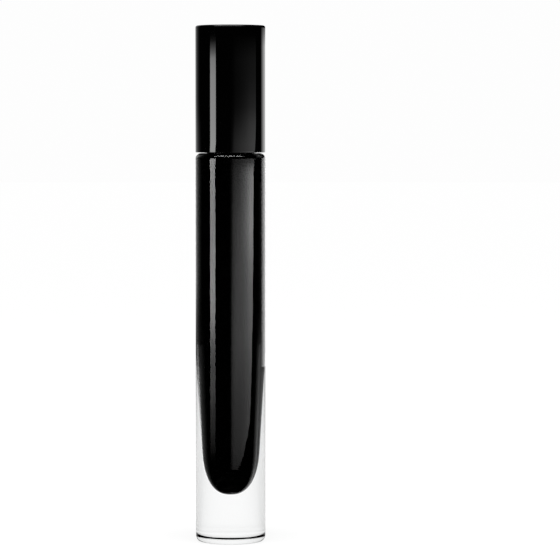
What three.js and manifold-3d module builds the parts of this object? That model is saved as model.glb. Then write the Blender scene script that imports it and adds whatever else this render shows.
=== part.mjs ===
// A mascara: a clear thick-walled jacket round a black vial, closed by a screw cap that
// carries the rod and brush. Millimetres, +Z up. The origin is the centre of the foot's
// underside. Every round piece shares the Z axis.

import * as THREE from 'three';
import { mergeVertices } from 'three/addons/utils/BufferGeometryUtils.js';
import Module from 'manifold-3d';

const wasm = await Module();
wasm.setup();

// ---- driving dimensions ----

const SIDES = 40;              // facets of every large round piece
const FINE_SIDES = 16;         // facets of the rod and the brush
const FIT = 0.05;              // gap between pieces that sit against each other

const TUBE_R = 8.25;           // jacket and cap share one outside radius
const JACKET_H = 92;
const FOOT_EDGE_R = 1.3;       // rounding round the underside
const SHOULDER_R = 1.33;       // rounding at the jacket's top

const VIAL_R = 5.6;            // straight upper part of the vial
const VIAL_TAPER = 0.0403;     // radius gained per millimetre of height below the straight part
const TAPER_TOP_Z = 46.6;
const VIAL_BOTTOM_Z = 11.3;
const VIAL_ROUND_TOP_Z = 21.7; // where the rounded bottom starts
const ROUND_POWER = 2.5;       // superellipse power of the rounded bottom
const VIAL_WALL = 0.5;
const VIAL_FLOOR = 0.9;

const COLLAR_R = 6.3;          // stop collar that sits on the jacket
const COLLAR_H = 1.1;
const NECK_R = 5.0;
const NECK_BORE_R = 4.2;
const NECK_TOP_Z = 103.5;
const BORE_SHOULDER_Z = 86;    // where the vial's wide bore starts to narrow to the neck's
const BORE_SHOULDER_H = 2;
const GROOVE_Z = 98;           // groove in the neck's bore for the wiper's bead
const GROOVE_DEPTH = 0.25;
const GROOVE_HALF_H = 0.3;
const GROOVE_SLOPE_H = 0.3;

const THREAD_PITCH = 3;
const THREAD_TURNS = 1.5;
const THREAD_START_Z = 95.2;
const NECK_CREST_R = 5.5;
const CAP_CREST_R = 5.6;
const THREAD_ROOT_W = 1.3;
const THREAD_CREST_W = 0.5;
const THREAD_SINK = 0.2;       // how far a ridge runs into the wall it stands on
const THREAD_FADE = 0.12;      // share of a thread's length that fades out at each end

const WIPER_FLANGE_H = 0.7;
const WIPER_BARREL_R = 3.4;    // inside of the wiper's straight part
const WIPER_CONE_Z = 96;       // where the straight part ends
const WIPER_LIP_Z = 91.9;
const WIPER_LIP_R = 1.88;
const WIPER_LIP_WALL = 0.35;
const WIPER_BEAD_HALF_H = 0.2;
const WIPER_EDGE = 0.3;        // bevels on the wiper's mouth and bead
const WIPER_CONE_STEP = 0.2;   // the bore starts to narrow this far above the outside

const WASHER_H = 0.8;
const WASHER_R = 4.95;
const ROD_CLEAR_R = 1.95;      // holes that the rod passes through freely

const CAP_RIM_Z = 92.15;
const CAP_TOP_Z = 122;
const CAP_WALL = 1.2;
const CAP_ROOF = 1.5;
const CAP_TOP_EDGE_R = 0.5;
const CAP_RIM_EDGE_R = 0.15;
const CAP_BORE_BEVEL = 0.5;    // bevel between the cap's bore and its roof
const CAP_MOUTH_BEVEL = 0.2;

const SKIRT_BOTTOM_Z = 93.4;
const SKIRT_R = 6.65;
const SKIRT_BORE_R = 6.15;
const INNER_ROOF_H = 1.8;
const BOSS_R = 3.4;
const BOSS_TOP_Z = 115.9;
const RIB_COUNT = 12;
const RIB_W = 0.9;
const RIB_INSET = 1;           // the ribs stop this far short of the skirt's two ends

const WEIGHT_H = 9.8;
const WEIGHT_CHAMFER = 0.4;
const WEIGHT_BORE_GAP = 0.1;
const WEIGHT_SIDE_GAP = 0.15;

const ROD_R_AT_CAP = 1.75;
const ROD_R_AT_BRUSH = 1.58;
const ROD_NOSE_R = 1.3;        // the rod narrows just before the brush
const ROD_NOSE_H = 1.2;
const ROD_END_Z = 41.1;        // end of the rod, where the brush starts
const ROD_TAPER_TOP_Z = 92;
const ROD_HEAD_R = 2.8;
const ROD_HEAD_H = 1.1;
const ROD_HEAD_BEVEL = 0.3;
const ROD_SOCKET_R = 0.62;
const ROD_SOCKET_DEPTH = 8.4;

const WIRE_R = 0.25;           // radius of the wire itself
const WIRE_OFFSET = 0.28;      // from the brush's axis to the middle of each strand
const WIRE_PITCH = 4;          // height of one full turn of the twist
const WIRE_TIP_Z = 14.5;
const WIRE_IN_ROD = 8;
const WIRE_STEPS_PER_TURN = 8;
const WIRE_FOLD_STEPS = 6;

const BRUSH_TIP_Z = 13.7;
const BRUSH_TOP_Z = 40.8;
const BRUSH_CORE_R = 1.25;     // packed roots of the fibres
const BRUSH_BORE_R = 0.6;
const FIBRE_ROW_H = 0.75;      // thickness of one row of fibres
const BRUSH_MAX_R = 4.08;

const SEAL_Z = NECK_TOP_Z + FIT + WIPER_FLANGE_H + FIT;
const SEAT_Z = SEAL_Z + WASHER_H + FIT;
const SKIRT_TOP_Z = SEAT_Z + INNER_ROOF_H;
const CAP_BORE_R = TUBE_R - CAP_WALL;

// ---- helpers ----

function point(radius, z) {
  return new THREE.Vector2(radius, z);
}

// A quarter or other arc of a profile, from one angle to another in degrees.
function arc(centreR, centreZ, radius, fromDeg, toDeg, steps) {
  const points = [];
  for (let i = 0; i <= steps; i += 1) {
    const angle = THREE.MathUtils.degToRad(fromDeg + ((toDeg - fromDeg) * i) / steps);
    points.push(point(centreR + radius * Math.cos(angle), centreZ + radius * Math.sin(angle)));
  }
  return points;
}

// Turns a profile of (radius, z) points round the Z axis.
function lathe(profile, sides = SIDES) {
  const geometry = new THREE.LatheGeometry(profile, sides);
  geometry.rotateX(Math.PI / 2);
  return geometry;
}

// The same, for a ring-shaped piece whose profile closes on itself.
function ring(profile, sides = SIDES) {
  return lathe([...profile, profile[0].clone()], sides);
}

function toSolid(geometry) {
  const bare = geometry.clone();
  bare.deleteAttribute('normal');
  bare.deleteAttribute('uv');
  const merged = mergeVertices(bare, 1e-4);
  const index = merged.index.array;
  const kept = [];
  for (let i = 0; i < index.length; i += 3) {
    const [a, b, c] = [index[i], index[i + 1], index[i + 2]];
    if (a !== b && b !== c && c !== a) {
      kept.push(a, b, c);
    }
  }
  return new wasm.Manifold(new wasm.Mesh({
    numProp: 3,
    vertProperties: Float32Array.from(merged.attributes.position.array),
    triVerts: Uint32Array.from(kept),
  }));
}

function toGeometry(solid) {
  const mesh = solid.getMesh();
  const geometry = new THREE.BufferGeometry();
  geometry.setAttribute('position', new THREE.BufferAttribute(mesh.vertProperties, 3));
  geometry.setIndex(new THREE.BufferAttribute(mesh.triVerts, 1));
  return geometry;
}

function join(...geometries) {
  return toGeometry(geometries.map(toSolid).reduce((whole, next) => whole.add(next)));
}

// Winds a bar round the Z axis. The bar's section is drawn as (radius, height), and
// reach(share) says how far out the bar stands at that share of its length: 0 keeps
// every point at the section's root, 1 leaves the section as drawn.
function helicalBar(section, rootR, startZ, turns, pitch, startAngle, reach, stepsPerTurn) {
  const steps = Math.round(turns * stepsPerTurn);
  const bar = new THREE.ExtrudeGeometry(new THREE.Shape(section), {
    depth: 1,
    steps,
    bevelEnabled: false,
  });
  const places = bar.attributes.position;
  for (let i = 0; i < places.count; i += 1) {
    const share = 1 - places.getZ(i);
    const angle = startAngle + share * turns * 2 * Math.PI;
    const radius = rootR + (places.getX(i) - rootR) * reach(share);
    const z = startZ + share * turns * pitch + places.getY(i);
    places.setXYZ(i, radius * Math.cos(angle), radius * Math.sin(angle), z);
  }
  return bar;
}

// A thread ridge that fades into its wall at both ends.
function threadRidge(rootR, crestR) {
  const inward = crestR < rootR;
  const sunkR = inward ? rootR + THREAD_SINK : rootR - THREAD_SINK;
  const section = [
    point(sunkR, -THREAD_ROOT_W / 2),
    point(crestR, -THREAD_CREST_W / 2),
    point(crestR, THREAD_CREST_W / 2),
    point(sunkR, THREAD_ROOT_W / 2),
  ];
  const least = 0.55 * (THREAD_SINK / Math.abs(crestR - sunkR));
  const reach = (share) => {
    const fade = Math.min(1, share / THREAD_FADE, (1 - share) / THREAD_FADE);
    return least + (1 - least) * fade;
  };
  return helicalBar(
    section, sunkR, THREAD_START_Z, THREAD_TURNS, THREAD_PITCH, 0, reach, SIDES,
  );
}

function addMesh(group, name, geometry, colour, roughness, metalness = 0, opacity = 1) {
  const material = new THREE.MeshStandardMaterial({
    color: colour,
    roughness,
    metalness,
    opacity,
    transparent: opacity < 1,
  });
  const mesh = new THREE.Mesh(geometry, material);
  mesh.name = name;
  group.add(mesh);
  return mesh;
}

// ---- outlines that more than one piece follows ----

// Radius of the vial's tapering side, before its bottom is rounded.
function vialSideRadius(z) {
  return VIAL_R - VIAL_TAPER * Math.max(0, TAPER_TOP_Z - z);
}

// The vial's side and rounded bottom, from the axis up to the taper's top, moved
// inwards by inset and with its lowest point at bottomZ.
function vialOutline(inset, bottomZ, steps = 7) {
  const points = [];
  const depth = VIAL_ROUND_TOP_Z - bottomZ;
  for (let i = 0; i <= steps; i += 1) {
    const angle = (i / steps) * (Math.PI / 2);
    const z = VIAL_ROUND_TOP_Z - depth * Math.cos(angle) ** (2 / ROUND_POWER);
    const narrowing = Math.sin(angle) ** (2 / ROUND_POWER);
    points.push(point((vialSideRadius(z) - inset) * narrowing, z));
  }
  points.push(point(VIAL_R - inset, TAPER_TOP_Z));
  return points;
}

// How far the fibres reach at a height above the brush's tip: a blunt barrel with a
// short, close-cut last turn beside the rod.
function fibreReach(height) {
  const length = BRUSH_TOP_Z - BRUSH_TIP_Z;
  const outline = new THREE.SplineCurve([
    point(0, 1.6),
    point(3, 3.3),
    point(8, 3.85),
    point(13, BRUSH_MAX_R),
    point(19.5, 3.95),
    point(length - 2.4, 3.5),
    point(length - 1.5, 2.35),
    point(length, 2.1),
  ]);
  let low = 0;
  let high = 1;
  for (let i = 0; i < 30; i += 1) {
    const middle = (low + high) / 2;
    if (outline.getPoint(middle).x < height) {
      low = middle;
    } else {
      high = middle;
    }
  }
  return outline.getPoint(low).y;
}

// ---- the tube ----

function outerJacket() {
  const bore = vialOutline(-FIT, VIAL_BOTTOM_Z - FIT).reverse();
  return lathe([
    point(0, 0),
    ...arc(TUBE_R - FOOT_EDGE_R, FOOT_EDGE_R, FOOT_EDGE_R, -90, 0, 5),
    ...arc(TUBE_R - SHOULDER_R, JACKET_H - SHOULDER_R, SHOULDER_R, 0, 90, 5),
    point(VIAL_R + FIT, JACKET_H),
    ...bore,
  ]);
}

function vialBody() {
  const collarZ = JACKET_H + FIT;
  const inside = vialOutline(VIAL_WALL, VIAL_BOTTOM_Z + VIAL_FLOOR).reverse();
  return lathe([
    ...vialOutline(0, VIAL_BOTTOM_Z),
    point(VIAL_R, collarZ),
    point(COLLAR_R, collarZ),
    point(COLLAR_R, collarZ + COLLAR_H),
    point(NECK_R, collarZ + COLLAR_H),
    point(NECK_R, NECK_TOP_Z),
    point(NECK_BORE_R, NECK_TOP_Z),
    point(NECK_BORE_R, GROOVE_Z + GROOVE_HALF_H + GROOVE_SLOPE_H),
    point(NECK_BORE_R + GROOVE_DEPTH, GROOVE_Z + GROOVE_HALF_H),
    point(NECK_BORE_R + GROOVE_DEPTH, GROOVE_Z - GROOVE_HALF_H),
    point(NECK_BORE_R, GROOVE_Z - GROOVE_HALF_H - GROOVE_SLOPE_H),
    point(NECK_BORE_R, BORE_SHOULDER_Z + BORE_SHOULDER_H),
    point(VIAL_R - VIAL_WALL, BORE_SHOULDER_Z),
    ...inside,
  ]);
}

function innerVial() {
  return join(vialBody(), threadRidge(NECK_R, NECK_CREST_R));
}

function wiper() {
  const barrelR = NECK_BORE_R - FIT;
  const flangeZ = NECK_TOP_Z + FIT;
  const topZ = flangeZ + WIPER_FLANGE_H;
  const beadR = barrelR + GROOVE_DEPTH - FIT;
  const beadH = WIPER_BEAD_HALF_H;
  return ring([
    point(WIPER_LIP_R, WIPER_LIP_Z),
    point(WIPER_LIP_R + WIPER_LIP_WALL, WIPER_LIP_Z),
    point(barrelR, WIPER_CONE_Z),
    point(barrelR, GROOVE_Z - beadH - WIPER_EDGE),
    point(beadR, GROOVE_Z - beadH),
    point(beadR, GROOVE_Z + beadH),
    point(barrelR, GROOVE_Z + beadH + WIPER_EDGE),
    point(barrelR, flangeZ),
    point(NECK_R, flangeZ),
    point(NECK_R, topZ),
    point(WIPER_BARREL_R + WIPER_EDGE, topZ),
    point(WIPER_BARREL_R, topZ - WIPER_EDGE),
    point(WIPER_BARREL_R, WIPER_CONE_Z + WIPER_CONE_STEP),
  ]);
}

// ---- the cap ----

function sealWasher() {
  return ring([
    point(ROD_CLEAR_R, SEAL_Z),
    point(WASHER_R, SEAL_Z),
    point(WASHER_R, SEAL_Z + WASHER_H),
    point(ROD_CLEAR_R, SEAL_Z + WASHER_H),
  ]);
}

function capShell() {
  const roofZ = CAP_TOP_Z - CAP_ROOF;
  return lathe([
    point(0, roofZ),
    point(CAP_BORE_R - CAP_BORE_BEVEL, roofZ),
    point(CAP_BORE_R, roofZ - CAP_BORE_BEVEL),
    point(CAP_BORE_R, CAP_RIM_Z + CAP_MOUTH_BEVEL),
    point(CAP_BORE_R + CAP_MOUTH_BEVEL, CAP_RIM_Z),
    ...arc(TUBE_R - CAP_RIM_EDGE_R, CAP_RIM_Z + CAP_RIM_EDGE_R, CAP_RIM_EDGE_R, -90, 0, 3),
    ...arc(TUBE_R - CAP_TOP_EDGE_R, CAP_TOP_Z - CAP_TOP_EDGE_R, CAP_TOP_EDGE_R, 0, 90, 5),
    point(0, CAP_TOP_Z),
  ]);
}

function innerCapBody() {
  return ring([
    point(ROD_CLEAR_R, SEAT_Z),
    point(SKIRT_BORE_R, SEAT_Z),
    point(SKIRT_BORE_R, SKIRT_BOTTOM_Z),
    point(SKIRT_R, SKIRT_BOTTOM_Z),
    point(SKIRT_R, SKIRT_TOP_Z),
    point(BOSS_R, SKIRT_TOP_Z),
    point(BOSS_R, BOSS_TOP_Z),
    point(ROD_CLEAR_R, BOSS_TOP_Z),
  ]);
}

// One upright rib that grips the inside of the cap's shell.
function rib(turn) {
  const outerR = CAP_BORE_R - FIT;
  const innerR = SKIRT_R - THREAD_SINK;
  const height = SKIRT_TOP_Z - SKIRT_BOTTOM_Z - 2 * RIB_INSET;
  const bar = new THREE.BoxGeometry(outerR - innerR, RIB_W, height);
  bar.translate((outerR + innerR) / 2, 0, SKIRT_BOTTOM_Z + RIB_INSET + height / 2);
  bar.rotateZ(turn);
  return bar;
}

function innerCap() {
  const ribs = [];
  for (let i = 0; i < RIB_COUNT; i += 1) {
    ribs.push(rib((i / RIB_COUNT) * 2 * Math.PI));
  }
  return join(innerCapBody(), threadRidge(SKIRT_BORE_R, CAP_CREST_R), ...ribs);
}

function capWeight() {
  const bottomZ = SKIRT_TOP_Z + FIT;
  const topZ = bottomZ + WEIGHT_H;
  const innerR = BOSS_R + WEIGHT_BORE_GAP;
  const outerR = CAP_BORE_R - WEIGHT_SIDE_GAP;
  return ring([
    point(innerR, bottomZ),
    point(outerR - WEIGHT_CHAMFER, bottomZ),
    point(outerR, bottomZ + WEIGHT_CHAMFER),
    point(outerR, topZ - WEIGHT_CHAMFER),
    point(outerR - WEIGHT_CHAMFER, topZ),
    point(innerR, topZ),
  ]);
}

// ---- the applicator ----

function rod() {
  const headZ = BOSS_TOP_Z + FIT;
  const topZ = headZ + ROD_HEAD_H;
  return lathe([
    point(0, ROD_END_Z + ROD_SOCKET_DEPTH),
    point(ROD_SOCKET_R, ROD_END_Z + ROD_SOCKET_DEPTH),
    point(ROD_SOCKET_R, ROD_END_Z),
    point(ROD_NOSE_R, ROD_END_Z),
    point(ROD_R_AT_BRUSH, ROD_END_Z + ROD_NOSE_H),
    point(ROD_R_AT_CAP, ROD_TAPER_TOP_Z),
    point(ROD_R_AT_CAP, headZ),
    point(ROD_HEAD_R, headZ),
    point(ROD_HEAD_R, topZ - ROD_HEAD_BEVEL),
    point(ROD_HEAD_R - ROD_HEAD_BEVEL, topZ),
    point(0, topZ),
  ], FINE_SIDES);
}

// The middle line of one wire that runs down from the rod, folds over at the brush's
// tip and runs back up, with both strands twisted round the axis.
class FoldedTwist extends THREE.Curve {
  constructor() {
    super();
    this.topZ = ROD_END_Z + WIRE_IN_ROD;
    this.foldZ = WIRE_TIP_Z + WIRE_R + WIRE_OFFSET;
    this.strandSteps = Math.round(
      ((this.topZ - this.foldZ) / WIRE_PITCH) * WIRE_STEPS_PER_TURN,
    );
    this.steps = 2 * this.strandSteps + WIRE_FOLD_STEPS;
  }

  // The fold needs closer stations than the strands, so they go by the parameter.
  getUtoTmapping(u) {
    return u;
  }

  getPoint(t) {
    const step = t * this.steps;
    const drop = this.topZ - this.foldZ;
    const back = step - this.strandSteps - WIRE_FOLD_STEPS;
    let z = this.foldZ;
    let offset = WIRE_OFFSET;
    if (step < this.strandSteps) {
      z = this.topZ - (drop * step) / this.strandSteps;
    } else if (back > 0) {
      z = this.foldZ + (drop * back) / this.strandSteps;
      offset = -WIRE_OFFSET;
    } else {
      const angle = (Math.PI * (step - this.strandSteps)) / WIRE_FOLD_STEPS;
      z = this.foldZ - WIRE_OFFSET * Math.sin(angle);
      offset = WIRE_OFFSET * Math.cos(angle);
    }
    const turn = (2 * Math.PI * Math.max(z, this.foldZ)) / WIRE_PITCH;
    return new THREE.Vector3(offset * Math.cos(turn), offset * Math.sin(turn), z);
  }
}

function twistedWire() {
  const path = new FoldedTwist();
  const section = new THREE.Shape(new THREE.EllipseCurve(0, 0, WIRE_R, WIRE_R).getPoints(5));
  return new THREE.ExtrudeGeometry(section, {
    steps: path.steps,
    extrudePath: path,
    bevelEnabled: false,
  });
}

// One of the two spiral ramps of fibres.
function fibreRamp(startAngle) {
  const rootR = (BRUSH_CORE_R + BRUSH_BORE_R) / 2;
  const startZ = BRUSH_TIP_Z + 1;
  const length = BRUSH_TOP_Z - startZ - 0.5;
  const section = [
    point(rootR, -FIBRE_ROW_H / 2),
    point(BRUSH_MAX_R, -FIBRE_ROW_H / 3),
    point(BRUSH_MAX_R, FIBRE_ROW_H / 3),
    point(rootR, FIBRE_ROW_H / 2),
  ];
  const reach = (share) => {
    const height = startZ + share * length - BRUSH_TIP_Z;
    return (fibreReach(height) - rootR) / (BRUSH_MAX_R - rootR);
  };
  return helicalBar(
    section, rootR, startZ, length / WIRE_PITCH, WIRE_PITCH, startAngle, reach, FINE_SIDES,
  );
}

function bristles() {
  const core = ring([
    point(BRUSH_BORE_R, BRUSH_TIP_Z + 0.5),
    point(BRUSH_CORE_R, BRUSH_TIP_Z + 0.5),
    point(BRUSH_CORE_R, BRUSH_TOP_Z),
    point(BRUSH_BORE_R, BRUSH_TOP_Z),
  ], FINE_SIDES);
  return join(core, fibreRamp(0), fibreRamp(Math.PI));
}

// ---- assembly ----

const mascara = new THREE.Group();

addMesh(mascara, 'outer_jacket', outerJacket(), 0xf2f5f6, 0.03, 0, 0.3);
addMesh(mascara, 'inner_vial', innerVial(), 0x040404, 0.12);
addMesh(mascara, 'wiper', wiper(), 0xe8e6e0, 0.45);
addMesh(mascara, 'seal_washer', sealWasher(), 0xd9d6cf, 0.7);
addMesh(mascara, 'cap_shell', capShell(), 0x050505, 0.08);
addMesh(mascara, 'inner_cap', innerCap(), 0x0b0b0c, 0.4);
addMesh(mascara, 'cap_weight', capWeight(), 0xa9abad, 0.35, 1);
addMesh(mascara, 'rod', rod(), 0x0d0c0c, 0.5);
addMesh(mascara, 'twisted_wire', twistedWire(), 0x9a9b9d, 0.3, 1);
addMesh(mascara, 'bristles', bristles(), 0x080707, 0.6);

export default mascara;
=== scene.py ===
"""The looks of a closed mascara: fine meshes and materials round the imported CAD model.

Lengths in the constants below are in millimetres and are turned into metres by MM where
a mesh is made. Places come from the boxes of the CAD nodes.
"""

import math
import random

import bmesh
import bpy
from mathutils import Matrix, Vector


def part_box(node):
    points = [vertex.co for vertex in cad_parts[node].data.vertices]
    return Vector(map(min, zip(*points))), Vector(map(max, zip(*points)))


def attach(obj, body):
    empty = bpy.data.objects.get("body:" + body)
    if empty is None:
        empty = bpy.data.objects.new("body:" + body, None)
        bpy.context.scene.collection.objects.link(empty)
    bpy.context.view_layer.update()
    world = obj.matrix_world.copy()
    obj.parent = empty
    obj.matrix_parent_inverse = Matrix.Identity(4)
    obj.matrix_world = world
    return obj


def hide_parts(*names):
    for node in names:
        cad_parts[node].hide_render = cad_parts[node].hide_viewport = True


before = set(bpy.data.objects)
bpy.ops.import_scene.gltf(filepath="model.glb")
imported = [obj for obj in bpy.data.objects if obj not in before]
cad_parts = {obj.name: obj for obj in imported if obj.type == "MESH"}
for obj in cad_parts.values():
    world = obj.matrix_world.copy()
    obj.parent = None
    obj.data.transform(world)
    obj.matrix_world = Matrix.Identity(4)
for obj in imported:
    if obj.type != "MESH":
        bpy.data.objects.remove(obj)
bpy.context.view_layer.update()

MM = 0.001
ROUND_SEGMENTS = 256     # facets round a large turned piece
THREAD_SEGMENTS = 160    # facets round a piece with a thread
SLIM_SEGMENTS = 96       # facets round the rod, the wiper and the seal
WIRE_SIDES = 12          # facets round the wire
FIBRE_SIDES = 4          # facets round a fibre
SHARP_DEG = 32.0         # an edge that turns more than this stays sharp
SLIM_SHARP_DEG = 60.0    # the same on the wire and the fibres
ARC_STEP_DEG = 9         # one step of a rounded corner
SUPPORT_GAP = 0.12       # from a rounding's end to the ring that flattens the wall beside it
FIT = 0.05               # gap between pieces that touch

# The jacket's bore lies this far inside the vial's skin, so that no air shows between them.
CROSS_FIT = 0.02


def node_box(node):
    """Lowest and highest corner of a CAD node, in millimetres."""
    low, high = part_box(node)
    return low / MM, high / MM


# ---- sizes taken from the frame ----

_, JACKET_HIGH = node_box("outer_jacket")
VIAL_LOW, VIAL_HIGH = node_box("inner_vial")
WIPER_LOW, WIPER_HIGH = node_box("wiper")
SEAL_LOW, SEAL_HIGH = node_box("seal_washer")
CAP_LOW, CAP_HIGH = node_box("cap_shell")
INSERT_LOW, INSERT_HIGH = node_box("inner_cap")
WEIGHT_LOW, WEIGHT_HIGH = node_box("cap_weight")
ROD_LOW, ROD_HIGH = node_box("rod")
WIRE_LOW, _ = node_box("twisted_wire")
BRUSH_LOW, _ = node_box("bristles")

TUBE_R = JACKET_HIGH.x
JACKET_TOP = JACKET_HIGH.z
CAP_RIM = CAP_LOW.z
CAP_TOP = CAP_HIGH.z
NECK_TOP = VIAL_HIGH.z
COLLAR_R = VIAL_HIGH.x
FLANGE_R = WIPER_HIGH.x
SEAL_R = SEAL_HIGH.x
RIB_R = INSERT_HIGH.x
WEIGHT_R = WEIGHT_HIGH.x
ROD_HEAD_R = ROD_HIGH.x

# ---- sizes inside the boxes, as in the CAD model ----

VIAL_R = 5.6
VIAL_TAPER = 0.0403      # radius gained per millimetre of height
TAPER_TOP = 46.6
VIAL_ROUND_TOP = 21.7
ROUND_POWER = 2.5
VIAL_WALL = 0.5
VIAL_FLOOR = 0.9
COLLAR_H = 1.1
BORE_SHOULDER = 86.0     # where the vial's wide bore starts to narrow to the neck's
GROOVE = 98.0            # middle of the groove in the neck's bore, for the wiper's bead
NECK_R = 5.0
NECK_BORE_R = 4.2
THREAD_PITCH = 3.0
THREAD_TURNS = 1.5
THREAD_START = 95.2
THREAD_LOW = THREAD_START - 0.9      # ends of the finely divided wall that a thread is on
THREAD_HIGH = THREAD_START + 5.5
RIDGE_ROOT = 1.15        # width of a thread's ridge at the wall
RIDGE_CREST = 0.5        # and at its crest
RIDGE_FADE = 0.7         # climb over which a ridge rises from the wall at either end
NECK_CREST = 0.5         # height of the neck's thread ridge
CAP_CREST = 0.55         # height of the inner cap's thread ridge
SKIRT_R = 6.65
SKIRT_BORE_R = 6.15
BOSS_R = 3.4
ROD_CLEAR_R = 1.95
ROD_R_AT_CAP = 1.75
ROD_R_AT_BRUSH = 1.58
ROD_NOSE_R = 1.3
ROD_NOSE_H = 1.2
ROD_TAPER_TOP = 92.0
SOCKET_R = 0.62
SOCKET_DEPTH = 8.4
WIRE_IN_SOCKET = 8.0
WIRE_R = 0.25
WIRE_OFFSET = 0.28
WIRE_PITCH = 4.0


# ---- outlines ----

def along(points, x):
    """The value at x of a line through (x, value) points, level beyond its ends."""
    if x <= points[0][0]:
        return points[0][1]
    for (x0, y0), (x1, y1) in zip(points, points[1:]):
        if x <= x1:
            return y0 + (y1 - y0) * (x - x0) / (x1 - x0)
    return points[-1][1]


def rounded(corners, closed=False):
    """Rounds an outline of (radius, height, rounding) corners into plain points.

    A rounding of zero keeps the corner sharp. A closed outline joins its last corner to
    its first; an open one keeps its two ends as they are.
    """
    points = []
    count = len(corners)
    for i, (r, z, rounding) in enumerate(corners):
        at_end = not closed and i in (0, count - 1)
        if rounding <= 0 or at_end:
            points.append((r, z))
            continue
        here = Vector((r, z))
        before = Vector(corners[i - 1][:2]) - here
        after = Vector(corners[(i + 1) % count][:2]) - here
        if before.length < 1e-9 or after.length < 1e-9:
            points.append((r, z))
            continue
        before.normalize()
        after.normalize()
        opening = before.angle(after)
        reach = rounding / math.tan(opening / 2)
        middle = here + (before + after).normalized() * (rounding / math.sin(opening / 2))
        start = here + before * reach - middle
        end = here + after * reach - middle
        sweep = start.angle_signed(end)
        steps = max(2, round(abs(math.degrees(sweep)) / ARC_STEP_DEG))
        begin = math.atan2(start.y, start.x)
        for k in range(steps + 1):
            angle = begin - sweep * k / steps
            points.append((
                middle.x + rounding * math.cos(angle),
                middle.y + rounding * math.sin(angle),
            ))
    return points


def supported(outline, closed=False):
    """Adds a ring near both ends of each long stretch, which keeps its shading flat."""
    points = []
    count = len(outline)
    for i, (r, z) in enumerate(outline):
        points.append((r, z))
        if i == count - 1 and not closed:
            break
        here = Vector((r, z))
        ahead = Vector(outline[(i + 1) % count]) - here
        if ahead.length > 4 * SUPPORT_GAP:
            near = here + ahead.normalized() * SUPPORT_GAP
            far = here + ahead - ahead.normalized() * SUPPORT_GAP
            points += [(near.x, near.y), (far.x, far.y)]
    return points


def vial_side_radius(z):
    """The vial's radius at a height: a slight taper, then straight."""
    return VIAL_R - VIAL_TAPER * max(0.0, TAPER_TOP - z)


def vial_outline(inset, bottom, steps=40):
    """The vial's side and rounded bottom, from the axis up, moved inwards by inset."""
    points = []
    depth = VIAL_ROUND_TOP - bottom
    for i in range(steps + 1):
        angle = (i / steps) * math.pi / 2
        z = VIAL_ROUND_TOP - depth * math.cos(angle) ** (2 / ROUND_POWER)
        narrowing = math.sin(angle) ** (2 / ROUND_POWER)
        points.append((max(0.0, (vial_side_radius(z) - inset) * narrowing), z))
    points.append((VIAL_R - inset, TAPER_TOP))
    return points


# ---- mesh making ----

def link(mesh, name):
    """Puts a mesh in the scene as an object."""
    piece = bpy.data.objects.new(name, mesh)
    bpy.context.scene.collection.objects.link(piece)
    return piece


def finish_mesh(name, vertices, faces, sharp_deg=SHARP_DEG):
    """Makes an object from points in millimetres, smooth but for its sharp edges."""
    mesh = bpy.data.meshes.new(name)
    mesh.from_pydata([Vector(v) * MM for v in vertices], [], faces)
    mesh.validate()
    mesh.shade_smooth()
    mesh.set_sharp_from_angle(angle=math.radians(sharp_deg))
    mesh.update()
    return link(mesh, name)


def turned_faces(outline, segments, closed, shape=None):
    """Points and faces of an outline turned round the Z axis.

    shape(angle, radius, height) may give a point a radius of its own, as a thread does.
    Points on the axis are single points.
    """
    vertices = []
    columns = []
    for r, z in outline:
        if r < 1e-6:
            columns.append([len(vertices)] * segments)
            vertices.append((0.0, 0.0, z))
            continue
        column = []
        for i in range(segments):
            angle = 2 * math.pi * i / segments
            radius = shape(angle, r, z) if shape else r
            column.append(len(vertices))
            vertices.append((radius * math.cos(angle), radius * math.sin(angle), z))
        columns.append(column)
    faces = []
    spans = len(outline) if closed else len(outline) - 1
    for j in range(spans):
        low, high = columns[j], columns[(j + 1) % len(outline)]
        for i in range(segments):
            k = (i + 1) % segments
            corners = [low[i], low[k], high[k], high[i]]
            face = [c for n, c in enumerate(corners) if c != corners[n - 1]]
            if len(set(face)) >= 3:
                faces.append(face)
    return vertices, faces


def turned(name, outline, segments=ROUND_SEGMENTS, closed=False, shape=None):
    """Makes a piece by turning an outline round the Z axis."""
    vertices, faces = turned_faces(supported(outline, closed), segments, closed, shape)
    return finish_mesh(name, vertices, faces)


def settle(piece, body, slot, *nodes):
    """Rides a piece on its body and hides the CAD nodes that it stands for."""
    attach(piece, body)
    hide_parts(*nodes)
    return piece


# ---- threads ----

def ridge(angle, z, height):
    """How far a thread's ridge stands out at this angle and height."""
    climb = THREAD_PITCH * angle / (2 * math.pi)
    length = THREAD_TURNS * THREAD_PITCH
    best = 0.0
    for turn in (0, 1):
        rise = climb + turn * THREAD_PITCH
        if not 0 <= rise <= length:
            continue
        off = abs(z - THREAD_START - rise)
        slope = (RIDGE_ROOT / 2 - off) / ((RIDGE_ROOT - RIDGE_CREST) / 2)
        fade = min(1.0, rise / RIDGE_FADE, (length - rise) / RIDGE_FADE)
        level = min(1.0, max(0.0, slope)) * math.sin(fade * math.pi / 2)
        best = max(best, level)
    return height * best


def threaded(wall, height):
    """A shape for turned(), which puts a ridge on the wall of this radius only."""
    def shape(angle, radius, z):
        if abs(radius - wall) > 1e-4:
            return radius
        return radius + ridge(angle, z, height)
    return shape


def fine_wall(radius, from_z, to_z, step=0.1):
    """Points up or down a wall, close enough together to carry a thread."""
    count = max(1, round(abs(to_z - from_z) / step))
    return [(radius, from_z + (to_z - from_z) * i / count) for i in range(count + 1)]


# ---- the tube ----

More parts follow.
